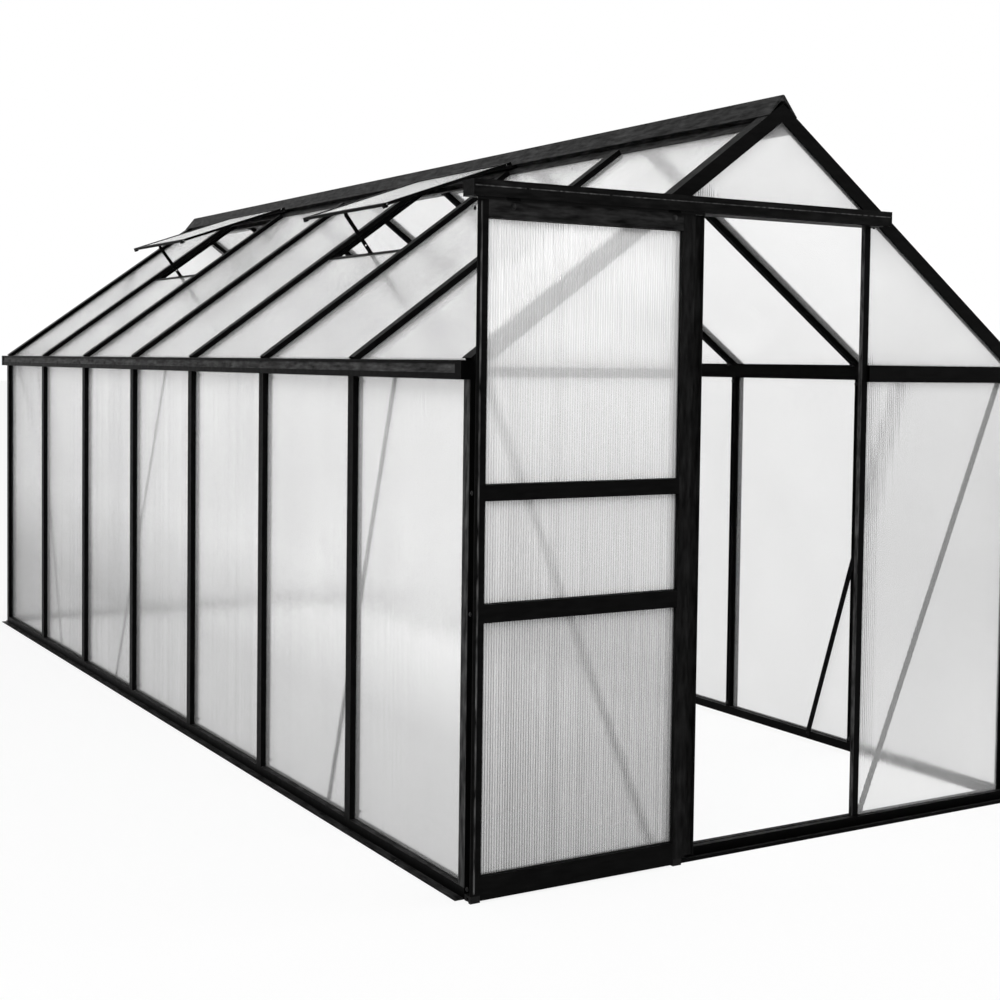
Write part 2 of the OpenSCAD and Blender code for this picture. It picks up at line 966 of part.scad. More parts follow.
module vent_top_rail_profile() {
  circle(r = hinge_r);
  box2(0, riser_x + skin, -hinge_plate_t / 2, hinge_plate_t / 2);
  box2(riser_x, riser_x + skin, -hinge_plate_t / 2, frame_z + weld);
  translate([riser_x, frame_z])
    vent_rail_profile();
}

// Hollow rail with a groove for the vent's sheet on its far side
module vent_rail_profile() {
  mid = vent_frame_h / 2;
  difference() {
    box2(0, vent_frame_w, 0, vent_frame_h);
    box2(skin, vent_frame_w - door_groove - skin, skin, vent_frame_h - skin);
    box2(vent_frame_w - door_groove, vent_frame_w + cut, mid - half_groove, mid + half_groove);
  }
}

module vent_sash() {
  side_x0 = riser_x + vent_frame_w + seat;
  side_x1 = vent_len - vent_frame_w - seat;
  along_y(0, vent_w)
    vent_top_rail_profile();
  along_y(0, vent_w)
    translate([vent_len, frame_z])
      mirror([1, 0])
        vent_rail_profile();
  for (end = [0, 1])
    translate([0, end * vent_w, frame_z])
      mirror([0, end, 0])
        along_x(side_x0, side_x1)
          vent_rail_profile();
  for (y = [0, vent_w - block_w])
    translate([vent_len - block_w, y, frame_z - block_drop])
      cube([block_w, block_w, block_drop + weld]);
  pin_with_ears(pivot_x, vent_w / 2, pivot_z, [-ear_w / 2, ear_w / 2],
    [pivot_z - ear_w / 2, frame_z + weld]);
}

// Pin across the stay's plane between two ears, which span x and z
module pin_with_ears(x, y, z, span_x, span_z) {
  for (side = [-1, 1])
    translate([x + span_x[0], y + side * (ear_y + ear_t / 2) - ear_t / 2, span_z[0]])
      cube([span_x[1] - span_x[0], ear_t, span_z[1] - span_z[0]]);
  translate([x, y - pin_len / 2, z])
    rotate([-90, 0, 0])
      cylinder(h = pin_len, r = pin_r);
}

module vent_frames() {
  color(coat)
    for (b = vent_bays)
      in_vent(b)
        vent_sash();
}

module vent_sheets() {
  inset = vent_frame_w - door_groove + edge_gap;
  color(clear_sheet)
    for (b = vent_bays)
      in_vent(b)
        translate([riser_x + inset, inset, frame_z + vent_frame_h / 2 - sheet_t / 2])
          cube([vent_len - riser_x - 2 * inset, vent_w - 2 * inset, sheet_t]);
}

// Sill across the lower end of a vent's opening, with the pin for the stay
module vent_sills() {
  low_t = sheet_top_t - sheet_t - sheet_fit - skin;
  top_t = sheet_top_t + sheet_fit + skin;
  length = bay - bar_w - 2 * seat;
  color(coat)
    for (b = vent_bays)
      on_slope(-1)
        translate([0, post_y(b - 0.5), 0]) {
          along_y(-length / 2, length / 2) {
            box2(sill_s, sill_s + skin, low_t, top_t);
            box2(sill_s, sill_s + sill_w, low_t, low_t + skin);
            box2(sill_s, sill_s + sill_w, top_t - skin, top_t);
          }
          pin_with_ears(pin_s, 0, pin_t, [-ear_w / 2, sill_s - pin_s + weld],
            [pin_t - ear_w / 2, pin_t + ear_w / 2]);
        }
}

// The stay hangs from the vent's pin and a hole of its row sits on the sill's pin
module vent_stays() {
  pivot = [hinge_s + pivot_x * cos(vent_open) - pivot_z * sin(vent_open),
    hinge_t + pivot_x * sin(vent_open) + pivot_z * cos(vent_open)];
  drop = [pivot[0] - pin_s, pivot[1] - pin_t];
  reach = norm(drop);
  last_hole = floor((stay_len - stay_w - reach) / hole_step);
  color(coat)
    for (b = vent_bays)
      on_slope(-1)
        translate([pivot[0], post_y(b - 0.5), pivot[1]])
          rotate([0, atan2(drop[0], drop[1]), 0])
            rotate([90, 0, 0])
              translate([0, 0, -stay_t / 2])
                linear_extrude(height = stay_t)
                  difference() {
                    union() {
                      box2(-stay_w / 2, stay_w / 2, -stay_len + stay_w, 0);
                      for (end = [0, -stay_len + stay_w])
                        translate([0, end])
                          circle(r = stay_w / 2);
                    }
                    circle(r = pin_hole_r);
                    for (n = [-2 : last_hole])
                      translate([0, -reach - n * hole_step])
                        circle(r = pin_hole_r);
                  }
}

// ---------- sliding door ----------

// Hooded track: back plate on the cross bar, running shelf with its bead, stepped front lip
module track_profile() {
  band_low = cross_top - hood_band_h;
  box2(0, track_t, head_h, cross_top);
  box2(0, track_out, cross_top - track_t, cross_top);
  box2(track_out - track_t, track_out, band_low, cross_top);
  box2(track_out - track_t - hood_step, track_out - hood_step, cross_top - hood_h, band_low + track_t);
  box2(0, track_shelf_v, head_h, head_h + track_t);
  box2(door_mid_v - track_t / 2, door_mid_v + track_t / 2, head_h, bead_top);
}

module door_track() {
  color(coat)
    at_front() {
      along_x(track_x0, track_x1)
        track_profile();
      for (x = [track_x0, track_x1 - track_end_t])
        along_x(x, x + track_end_t)
          box2(0, track_out, max(head_h, cross_top - hood_h), cross_top);
    }
}

// Door profile in two directions: first across the frame, then through the door
module door_profile(w, grooves) {
  mid = door_t / 2;
  difference() {
    union() {
      difference() {
        box2(0, w, 0, door_t);
        box2(skin, w - skin, skin, door_t - skin);
      }
      for (g = grooves)
        box2(g < 0 ? 0 : w - door_groove - skin, g < 0 ? door_groove + skin : w,
          mid - lip, mid + lip);
    }
    for (g = grooves)
      box2(g < 0 ? -cut : w - door_groove, g < 0 ? door_groove : w + cut,
        mid - half_groove, mid + half_groove);
  }
}

// Outer stile: a narrow box behind a wider front flange
module door_left_stile() {
  color(coat)
    at_front()
      translate([door_x0, door_gap, 0])
        along_z(door_low, door_top) {
          translate([stile_w - stile_box_w, 0])
            door_profile(stile_box_w, [1]);
          box2(0, stile_w - stile_box_w + weld, door_t - skin, door_t);
        }
}

// Closing stile: a wide box with a set-back flange and lip that cover the door post
module door_right_stile() {
  mid = door_t / 2;
  lip_back = 4;
  color(coat)
    at_front()
      translate([rail_x1, door_gap, 0])
        along_z(door_low, door_top) {
          door_profile(close_box_w, [-1]);
          box2(close_box_w - weld, close_box_w + close_flange_w, mid - skin, mid);
          translate([close_box_w + close_flange_w, 0])
            box2(-skin, 0, mid - skin, door_t - lip_back);
        }
}

// A rail between the stiles, drawn with its height along the profile's first axis
module door_rail(z, h, grooves) {
  at_front()
    along_x(rail_x0, rail_x1)
      translate([door_front_v, z])
        rotate([0, 0, 90])
          door_profile(h, grooves);
}

module door_top_rail() {
  color(coat)
    door_rail(door_top - top_rail_h, top_rail_h, [-1]);
}

// The bottom rail's front skirt hides the guide lip
module door_bottom_rail() {
  color(coat) {
    door_rail(door_low, bottom_rail_h - door_low + skirt_low, [1]);
    at_front()
      along_x(rail_x0, rail_x1)
        box2(door_front_v - skin, door_front_v, skirt_low, door_low + weld);
  }
}

module door_middle_rails() {
  color(coat)
    for (i = [0, 1])
      door_rail(middle_rail_z[i], middle_rail_h[i], [-1, 1]);
}

// Lower and upper edges of the rails that hold the three sheets
door_sheet_low = [skirt_low + bottom_rail_h, middle_rail_z[0] + middle_rail_h[0],
  middle_rail_z[1] + middle_rail_h[1]];
door_sheet_high = [middle_rail_z[0], middle_rail_z[1], door_top - top_rail_h];

module door_sheets() {
  into = door_groove - edge_gap;
  color(clear_sheet)
    at_front()
      for (i = [0 : 2])
        translate([rail_x0 - into, door_mid_v - sheet_t / 2,
          door_sheet_low[i] - door_groove + seat])
          cube([rail_x1 - rail_x0 + 2 * into, sheet_t,
            door_sheet_high[i] - door_sheet_low[i] + into + door_groove - seat]);
}

hanger_x = [door_x0 + hanger_in, door_x1 - hanger_in];
// Hanger: width, plate thickness, depth of its foot and rise past the axle
hanger_w = 36;
hanger_t = 2.5;
hanger_foot = 14;
hanger_rise = 9;
axle_r = 3;
// Ends of the axle past the roller's middle and past the hanger's front
axle_back = 6;
axle_head = 1.5;

// Angle bracket that stands on the top rail, with the axle that carries a roller
module door_hangers() {
  color(zinc)
    at_front()
      for (x = hanger_x) {
        translate([x - hanger_w / 2, door_front_v - hanger_foot, door_top])
          cube([hanger_w, hanger_foot, hanger_t]);
        translate([x - hanger_w / 2, door_front_v - hanger_t, door_top])
          cube([hanger_w, hanger_t, roller_z + hanger_rise - door_top]);
        translate([x, door_mid_v - axle_back, roller_z])
          rotate([-90, 0, 0])
            cylinder(h = door_t / 2 + axle_back + axle_head, r = axle_r);
      }
}

// Grooved wheel that runs on the bead
module door_rollers() {
  half = 4.5;
  tread = 1.8;
  rim = 1.5;
  running_play = 0.05;
  bore_r = axle_r + running_play;
  flange_r = roller_r + roller_flange;
  color(nylon)
    at_front()
      for (x = hanger_x)
        translate([x, door_mid_v, roller_z])
          rotate([-90, 0, 0])
            rotate_extrude()
              polygon([[bore_r, -half], [flange_r, -half], [flange_r, rim - half], [roller_r, -tread],
                [roller_r, tread], [flange_r, half - rim], [flange_r, half], [bore_r, half]]);
}

// Forked shoe under each stile that straddles the guide lip
module door_guides() {
  shoe_w = 26;
  plate = 5;
  prong_gap = 3.5;
  front_low = 1;
  back_low = foot_t + edge_gap;
  color(nylon)
    at_front()
      for (x = [door_x0 + edge_gap, rail_x1 + edge_gap])
        along_x(x, x + shoe_w) {
          box2(door_gap, door_front_v, door_low - plate, door_low);
          box2(door_gap, door_mid_v - guide_t / 2 - prong_gap, back_low, door_low);
          box2(door_mid_v + guide_t / 2 + prong_gap, door_front_v, front_low, door_low);
        }
}

base_front();
base_rear();
base_left();
base_right();
corner_posts();
left_wall_posts();
right_wall_posts();
door_posts();
rear_gable_posts();
left_gutter();
right_gutter();
front_eave_bars();
rear_eave_bars();
front_cross_bar();
ridge_beam();
front_rafters();
rear_rafters();
left_roof_bars();
right_roof_bars();
left_wall_sheets();
right_wall_sheets();
left_roof_sheets();
right_roof_sheets();
front_gable_sheets();
rear_gable_sheets();
left_wall_braces();
right_wall_braces();
front_gable_braces();
rear_gable_braces();
vent_frames();
vent_sheets();
vent_sills();
vent_stays();
door_track();
door_left_stile();
door_right_stile();
door_top_rail();
door_bottom_rail();
door_middle_rails();
door_sheets();
door_hangers();
door_rollers();
door_guides();
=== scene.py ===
"""Looks of the greenhouse: camera, light, materials, fluted sheets and fastenings."""

import json
import math

import bmesh
import bpy
import numpy as np
from mathutils import Matrix, Vector

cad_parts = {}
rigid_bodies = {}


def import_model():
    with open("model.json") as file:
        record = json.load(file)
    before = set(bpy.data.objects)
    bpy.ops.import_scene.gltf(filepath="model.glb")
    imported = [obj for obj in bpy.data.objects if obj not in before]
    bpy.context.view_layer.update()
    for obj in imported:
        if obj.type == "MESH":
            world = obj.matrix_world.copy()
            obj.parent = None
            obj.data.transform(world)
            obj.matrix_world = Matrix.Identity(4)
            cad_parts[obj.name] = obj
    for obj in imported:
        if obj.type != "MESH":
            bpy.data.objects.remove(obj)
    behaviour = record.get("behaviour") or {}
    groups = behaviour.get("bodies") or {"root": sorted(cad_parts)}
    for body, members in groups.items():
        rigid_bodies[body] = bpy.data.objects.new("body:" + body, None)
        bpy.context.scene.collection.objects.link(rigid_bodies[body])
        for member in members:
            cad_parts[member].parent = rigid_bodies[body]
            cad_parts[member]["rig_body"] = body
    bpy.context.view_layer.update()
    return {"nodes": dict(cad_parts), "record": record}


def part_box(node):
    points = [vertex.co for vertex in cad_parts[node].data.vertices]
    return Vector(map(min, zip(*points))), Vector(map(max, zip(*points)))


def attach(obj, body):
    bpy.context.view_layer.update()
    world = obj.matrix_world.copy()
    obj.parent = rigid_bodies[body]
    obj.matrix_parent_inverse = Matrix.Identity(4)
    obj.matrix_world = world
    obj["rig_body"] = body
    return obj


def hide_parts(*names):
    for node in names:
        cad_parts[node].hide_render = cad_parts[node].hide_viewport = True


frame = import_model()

# ---------- sizes, in metres ----------

MM = 0.001
FLUTE = 7 * MM            # distance between the ribs of a twin-wall sheet
FLUTE_SINK = 0.1 * MM     # how far the skin sinks between two ribs
FLUTE_STEPS = (0.0, 0.16, 0.5, 0.84)
FLUTE_DEPTHS = (0.0, 0.8, 1.0, 0.8)

# Section of a rubber lip: distance past the groove and height above the skin
LIP = ((-1.5 * MM, -0.2 * MM), (-1.5 * MM, 1.1 * MM), (0.2 * MM, 1.2 * MM), (0.9 * MM, 0.9 * MM),
       (1.3 * MM, 0.3 * MM), (1.3 * MM, -0.2 * MM))
WALL_GROOVES = (12.7 * MM, 11 * MM, 12.7 * MM)
DOOR_GROOVES = (9.7 * MM, 9 * MM, 9 * MM)

SUNK = 0.2 * MM           # how deep a fastening or bead starts inside what carries it
BOLT_R = 6 * MM
SCREW_R = 4 * MM
NUT_R = 5 * MM
HANGER_BOLT_DROP = 13 * MM
NUT_INSET = 14 * MM       # from a post's end
ROOF_NUT_INSET = 45 * MM  # from a roof bar's end
BRACE_BOLT_INSET = 12 * MM
HOOD_BAND = 13 * MM       # height of the hood's raised band, and how far it stands out
HOOD_STEP = 1.2 * MM
HOOD_BEAD_W = 3 * MM
STILE_BEAD_IN = 10 * MM
STILE_BEAD_W = 5 * MM
STILE_BEAD_H = 0.9 * MM
SEAL_IN = 0.6 * MM        # how far the brush lies behind the top rail's face
SEAL_T = 1.6 * MM
SEAL_H = 8 * MM
SEAL_GAP = 1 * MM         # between the brush and a hanger
TUFT = 1.5 * MM           # distance between two tufts of the brush
TUFT_H = 2 * MM
BEAD_END = 2 * MM         # how far the hood's bead stops short of the hood's ends
STILE_BEAD_END = 4 * MM

EYE = (-2.7316, -5.3872, 1.2598)
YAW, PITCH, ROLL = 0.53599, -0.04213, 0.01278
SENSOR = 36               # millimetres, like the lens
FOCAL = 1.57634           # focal length as a share of the sensor's width
FLOOR_HALF = 80
FLOOR_DROP = 0.5 * MM
FLOOR_SHARE = 0.86        # how much of the white the floor shows, the rest is its shadow
WORLD_SOFT = 0.62
LAMP_AIM = (0, 0, 0.8)
LAMPS = (("key", (-5.5, -7, 6), 5, 520), ("fill", (6, -4, 5), 5, 160))   # name, place, size, watts


# ---------- camera ----------

def add_camera():
    ahead = Vector((math.sin(YAW) * math.cos(PITCH), math.cos(YAW) * math.cos(PITCH), math.sin(PITCH)))
    level = Vector((math.cos(YAW), -math.sin(YAW), 0))
    above = level.cross(ahead)
    right = math.cos(ROLL) * level + math.sin(ROLL) * above
    up = math.cos(ROLL) * above - math.sin(ROLL) * level
    data = bpy.data.cameras.new("camera")
    data.sensor_width = SENSOR
    data.lens = FOCAL * SENSOR
    data.shift_y = -0.07
    data.clip_end = 100
    camera = bpy.data.objects.new("camera", data)
    camera.matrix_world = Matrix.Translation(EYE) @ Matrix((right, up, -ahead)).transposed().to_4x4()
    bpy.context.scene.collection.objects.link(camera)
    bpy.context.scene.camera = camera


# ---------- node helpers ----------

class Nodes:
    """Short names for the nodes of one material."""

    def __init__(self, name):
        self.material = bpy.data.materials.new(name)
        self.material.use_nodes = True
        self.tree = self.material.node_tree
        self.tree.nodes.clear()
        self.out = self.add("ShaderNodeOutputMaterial")

    def add(self, kind, links=(), **values):
        node = self.tree.nodes.new(kind)
        for key, value in values.items():
            if hasattr(node, key):
                setattr(node, key, value)
            else:
                node.inputs[key.replace("_", " ")].default_value = value
        for key, source in dict(links).items():
            self.tree.links.new(source, node.inputs[key])
        return node

    def place(self):
        return self.add("ShaderNodeTexCoord").outputs["Object"]

    def part(self, vector, axis):
        return self.add("ShaderNodeSeparateXYZ", {"Vector": vector}).outputs[axis]

    def noise(self, vector, scale, detail=3.0, stretch=None):
        if stretch:
            vector = self.add("ShaderNodeMapping", {"Vector": vector}, Scale=stretch).outputs[0]
        return self.add("ShaderNodeTexNoise", {"Vector": vector}, Scale=scale, Detail=detail).outputs["Fac"]

    def ramp(self, value, low, high, to_low=0.0, to_high=1.0):
        node = self.add("ShaderNodeMapRange", {"Value": value})
        for key, number in (("From Min", low), ("From Max", high), ("To Min", to_low), ("To Max", to_high)):
            node.inputs[key].default_value = number
        return node.outputs[0]

    def math(self, operation, a, b):
        node = self.add("ShaderNodeMath", operation=operation)
        for socket, value in zip(node.inputs, (a, b)):
            if isinstance(value, (int, float)):
                socket.default_value = value
            else:
                self.tree.links.new(value, socket)
        return node.outputs[0]

    def mix(self, factor, a, b):
        node = self.add("ShaderNodeMix", data_type="RGBA")
        for socket, value in ((node.inputs[0], factor), (node.inputs[6], a), (node.inputs[7], b)):
            if isinstance(value, (int, float, tuple)):
                socket.default_value = value if isinstance(value, (int, float)) else (*value, 1)
            else:
                self.tree.links.new(value, socket)
        return node.outputs[2]

    def tones(self, value, stops):
        """Grey tones along a value, as (value, tone) pairs."""
        low, high = stops[0][0], stops[-1][0]
        node = self.add("ShaderNodeValToRGB", {"Fac": self.ramp(value, low, high)})
        points = node.color_ramp.elements
        while len(points) < len(stops):
            points.new(0.5)
        for point, (at, tone) in zip(points, stops):
            point.position = (at - low) / (high - low)
            point.color = (tone, tone, tone, 1)
        return node.outputs["Color"]

    def bump(self, height, strength, distance):
        return self.add("ShaderNodeBump", {"Height": height}, Strength=strength, Distance=distance).outputs[0]

    def finish(self, shader):
        self.tree.links.new(shader.outputs[0], self.out.inputs["Surface"])
        return self.material


def grey(value):
    return (value, value, value)


# ---------- materials ----------

BLACK = 0.0012
SHEET_IOR = 1.15          # low, because the two skins are thin and nearly parallel
SHADOW_SHARE = 0.85       # light that a sheet lets through to what it shades
RIB_FOOT, RIB_HEAD = 0.3, 1.5   # heights between which the webs' shade changes
# The streaks' noise is squeezed along the profile, so that it runs that way
STRETCH = {"X": (0.2, 1, 1), "Y": (1, 0.2, 1), "Z": (1, 1, 0.2)}


def coat_material(name, along="Z", dust_and_sheen_tone=0.004, faces=None):
    """Black powder coat with lighter streaks along the profile: a film of dust, and a painted sheen where
    faces is given.

    faces limits the streaks to faces whose normal has a part along an axis: (axis, from, to); those faces
    come out lighter, a painted sheen for the light they catch."""
    n = Nodes(name)
    place = n.place()
    streaks = n.noise(place, 90, 5, STRETCH[along])
    blotches = n.ramp(n.noise(place, 14, 4), 0.3, 0.7, 0.45, 1.0)
    dust_and_sheen = n.math("MULTIPLY", n.ramp(streaks, 0.3, 0.75), blotches)
    # Painted sheen: the streaks show only on faces turned along the axis, lighter as if they caught the light
    if faces:
        axis, low, high = faces
        normal = n.add("ShaderNodeNewGeometry").outputs["Normal"]
        turned = n.math("ABSOLUTE", n.part(normal, axis), 0)
        dust_and_sheen = n.math("MULTIPLY", dust_and_sheen, n.ramp(turned, low, high))
    # The light grey mixed in here is dust, and a painted sheen where faces is given
    colour = n.mix(dust_and_sheen, grey(BLACK), grey(dust_and_sheen_tone))
    gloss = n.ramp(n.noise(place, 55, 4), 0.3, 0.7, 0.36, 0.5)
    peel = n.bump(n.noise(place, 1400, 2), 0.25, 0.2 * MM)
    shader = n.add("ShaderNodeBsdfPrincipled",
                   {"Base Color": colour, "Roughness": gloss, "Normal": peel})
    shader.inputs["Specular IOR Level"].default_value = 0.02
    return n.finish(shader)


def sheet_material(name, across, tones, ribs, lens, clear):
    """Twin-wall polycarbonate: clear along the flutes, spread sideways by each flute's curve.

    tones are the sheet's grey tones by height, darker towards the foot on the walls and the door, ribs
    how dark the webs inside are at the foot and at the head, lens how steep the skin curves between
    two of them, clear the share of the light that isn't scattered."""
    n = Nodes(name)
    place = n.place()
    cloud = n.noise(place, 2.4, 4)
    shade = n.tones(n.part(place, "Z"), tones)
    count = n.math("DIVIDE", n.part(place, across), FLUTE)
    phase = n.math("FRACT", count, 0)
    uneven = n.add("ShaderNodeTexWhiteNoise", {"W": n.math("FLOOR", count, 0)},
                   noise_dimensions="1D").outputs["Value"]
    web = n.ramp(n.math("ABSOLUTE", n.math("SUBTRACT", phase, 0.5), 0), 0.16, 0.5)
    by_height = n.ramp(n.part(place, "Z"), RIB_FOOT, RIB_HEAD, *ribs)
    web = n.math("MULTIPLY", web, n.math("MULTIPLY", n.ramp(uneven, 0, 1, 0.7, 1.0), by_height))
    dim = n.math("MULTIPLY", n.math("SUBTRACT", 1.0, web), n.ramp(cloud, 0.3, 0.7, 0.97, 1.02))
    colour = n.add("ShaderNodeVectorMath", {0: shade}, operation="SCALE")
    n.tree.links.new(dim, colour.inputs["Scale"])

    # The normal leans with the flute's curve, outward on both skins like a lens
    geometry = n.add("ShaderNodeNewGeometry")
    side = n.ramp(geometry.outputs["Backfacing"], 0, 1, 1, -1)
    curve = n.math("SINE", n.math("MULTIPLY", phase, 2 * math.pi), 0)
    lean = n.math("MULTIPLY", n.math("MULTIPLY", curve, side), n.ramp(uneven, 0, 1, 0.5 * lens, lens))
    tilt = n.add("ShaderNodeCombineXYZ", {across: lean})
    leaning = n.add("ShaderNodeVectorMath", {0: geometry.outputs["Normal"], 1: tilt.outputs[0]},
                    operation="ADD")
    normal = n.add("ShaderNodeVectorMath", {0: leaning.outputs[0]}, operation="NORMALIZE")
    haze = n.ramp(n.noise(place, 30, 3), 0.3, 0.7, 0.12, 0.2)
    shader = n.add("ShaderNodeBsdfPrincipled",
                   {"Base Color": colour.outputs[0], "Roughness": haze, "Normal": normal.outputs[0]})
    shader.inputs["Transmission Weight"].default_value = clear
    shader.inputs["IOR"].default_value = SHEET_IOR
    shader.inputs["Specular IOR Level"].default_value = 0.3
    empty = n.add("ShaderNodeBsdfTransparent")
    shadow = n.add("ShaderNodeLightPath").outputs["Is Shadow Ray"]
    let_through = n.math("MULTIPLY", shadow, SHADOW_SHARE)
    both = n.add("ShaderNodeMixShader", {"Fac": let_through, 1: shader.outputs[0], 2: empty.outputs[0]})
    return n.finish(both)


def nylon_material(name):
    """Black nylon, also worn by the rubber lips and the brush."""
    n = Nodes(name)
    place = n.place()
    colour = n.mix(n.noise(place, 120, 3), grey(0.003), grey(0.008))
    peel = n.bump(n.noise(place, 900, 2), 0.2, 0.2 * MM)
    shader = n.add("ShaderNodeBsdfPrincipled", {"Base Color": colour, "Normal": peel}, Roughness=0.55)
    shader.inputs["Specular IOR Level"].default_value = 0.06
    return n.finish(shader)


# ---------- geometry helpers ----------

def solids(node):
    """The separate solids of a CAD node, each as an array of its corner points."""
    bm = bmesh.new()
    bm.from_mesh(frame["nodes"][node].data)
    bmesh.ops.remove_doubles(bm, verts=bm.verts, dist=1e-6)
    bm.verts.ensure_lookup_table()
    seen, found = set(), []
    for start in bm.verts:
        if start.index in seen:
            continue
        seen.add(start.index)
        todo, points = [start], []
        while todo:
            vert = todo.pop()
            points.append(tuple(vert.co))
            for edge in vert.link_edges:
                other = edge.other_vert(vert)
                if other.index not in seen:
                    seen.add(other.index)
                    todo.append(other)
        found.append(np.array(points))
    bm.free()
    return sorted(found, key=lambda p: tuple(np.round(p.mean(0)[[1, 0, 2]], 4)))


def add_mesh(name, verts, faces, material, body):
    mesh = bpy.data.meshes.new(name)
    mesh.from_pydata([tuple(v) for v in verts], [], faces)
    mesh.materials.append(material)
    mesh.update()
    piece = bpy.data.objects.new(name, mesh)
    bpy.context.scene.collection.objects.link(piece)
    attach(piece, body)
    return piece


def closed(piece):
    """Turns a piece's faces outward."""
    bm = bmesh.new()
    bm.from_mesh(piece.data)
    bmesh.ops.recalc_face_normals(bm, faces=bm.faces)
    bm.to_mesh(piece.data)
    bm.free()


# ---------- twin-wall sheets ----------

def outline(points, across, along):
    """Convex outline of a sheet in its own plane, as a lower and an upper chain."""
    flat = sorted({(round(float(p @ across), 6), round(float(p @ along), 6)) for p in points})

    def chain(row):
        kept = []
        for p in row:
            while len(kept) > 1 and (
                    (kept[-1][0] - kept[-2][0]) * (p[1] - kept[-2][1])
                    - (kept[-1][1] - kept[-2][1]) * (p[0] - kept[-2][0])) <= 1e-12:
                kept.pop()
            kept.append(p)
        return np.array(kept)
    return chain(flat), chain(flat[::-1])[::-1]


def fluted(points, verts, faces):
    """Adds one sheet with a rib about every FLUTE and skins that sink a little between the ribs."""
    centre = points.mean(0)
    _, _, axes = np.linalg.svd(points - centre)
    out = axes[2]
    across = np.array([1.0, 0, 0]) if abs(out[1]) > 0.9 else np.array([0, 1.0, 0])
    along = np.cross(out, across)
    along *= 1 if along[2] > 0 else -1
    depth = (points @ out).max() - (points @ out).min()
    middle = ((points @ out).max() + (points @ out).min()) / 2
    low, high = outline(points, across, along)
    x0, x1 = low[0][0], low[-1][0]
    count = max(1, round((x1 - x0) / FLUTE))
    step = (x1 - x0) / count
    stops = {x0 + (i + s) * step for i in range(count) for s in FLUTE_STEPS} | {x1}
    stops |= {*low[:, 0], *high[:, 0]}
    stops = sorted(round(x, 7) for x in stops)
    stops = [x for i, x in enumerate(stops) if i == 0 or x - stops[i - 1] > 1e-5]
    share = (np.array(stops) - x0) / step % 1.0
    sink = np.interp(share, (*FLUTE_STEPS, 1.0), (*FLUTE_DEPTHS, 0.0)) * FLUTE_SINK
    sink[0] = sink[-1] = 0
    first = len(verts)
    for x, s in zip(stops, sink):
        z0, z1 = (np.interp(x, *edge.T) for edge in (low, high))
        if z1 - z0 < 1e-5:
            z1 = z0 + 1e-5
        for z, side in ((z0, 1), (z1, 1), (z1, -1), (z0, -1)):
            verts.append(across * x + along * z + out * (middle + side * (depth / 2 - s)))
    for i in range(len(stops) - 1):
        a, b = first + 4 * i, first + 4 * i + 4
        faces += [(a + j, b + j, b + (j + 1) % 4, a + (j + 1) % 4) for j in range(4)]
    last = first + 4 * (len(stops) - 1)
    faces += [tuple(range(first, first + 4))[::-1], tuple(range(last, last + 4))]


def add_sheets(materials):
    for node, material in materials.items():
        verts, faces = [], []
        for points in solids(node):
            fluted(points, verts, faces)
        body = frame["nodes"][node]["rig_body"]
        piece = add_mesh(node + "_fluted", verts, faces, material, body)
        closed(piece)
        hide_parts(node)


# ---------- gaskets ----------

def inset(corners, amounts):
    """A convex outline, counter-clockwise, with each edge moved inward by its own amount."""
    moved = []
    for i in range(len(corners)):
        lines = []
        for j in (i - 1, i):
            start, end = corners[j], corners[(j + 1) % len(corners)]
            step = (end - start) / np.linalg.norm(end - start)
            inward = np.array([-step[1], step[0]])
            lines.append((inward, inward @ start + amounts[j]))
        normals = np.array([line[0] for line in lines])
        moved.append(np.linalg.solve(normals, [line[1] for line in lines]))
    return np.array(moved)


def add_gaskets(name, node, grooves, material):
    """Rubber lips on both faces of each sheet, where it leaves the grooves of its frame.

    grooves are the depths at the sheet's lower edge, upper edge and sides."""
    verts, faces = [], []
    for points in solids(node):
        centre = points.mean(0)
        out = np.linalg.svd(points - centre)[2][2]
        across = np.array([1.0, 0, 0]) if abs(out[1]) > 0.9 else np.array([0, 1.0, 0])
        along = np.array([0, 0, 1.0])
        skin = np.abs((points - centre) @ out).max() - FLUTE_SINK
        x, z = points @ across, points @ along
        corners = np.array([(x.min(), z.min()), (x.max(), z.min()), (x.max(), z.max()), (x.min(), z.max())])
        low, high, side = grooves
        for face in (1, -1):
            first = len(verts)
            for wide, proud in LIP:
                for u, v in inset(corners, [g + wide for g in (low, side, high, side)]):
                    verts.append(across * u + along * v + out * (centre @ out + face * (skin + proud)))
            for i in range(len(LIP)):
                for j in range(4):
                    a, b = first + 4 * i, first + 4 * ((i + 1) % len(LIP))
                    faces.append((a + j, a + (j + 1) % 4, b + (j + 1) % 4, b + j))
    closed(add_mesh(name, verts, faces, material, frame["nodes"][node]["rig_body"]))


# ---------- fastenings and beads ----------

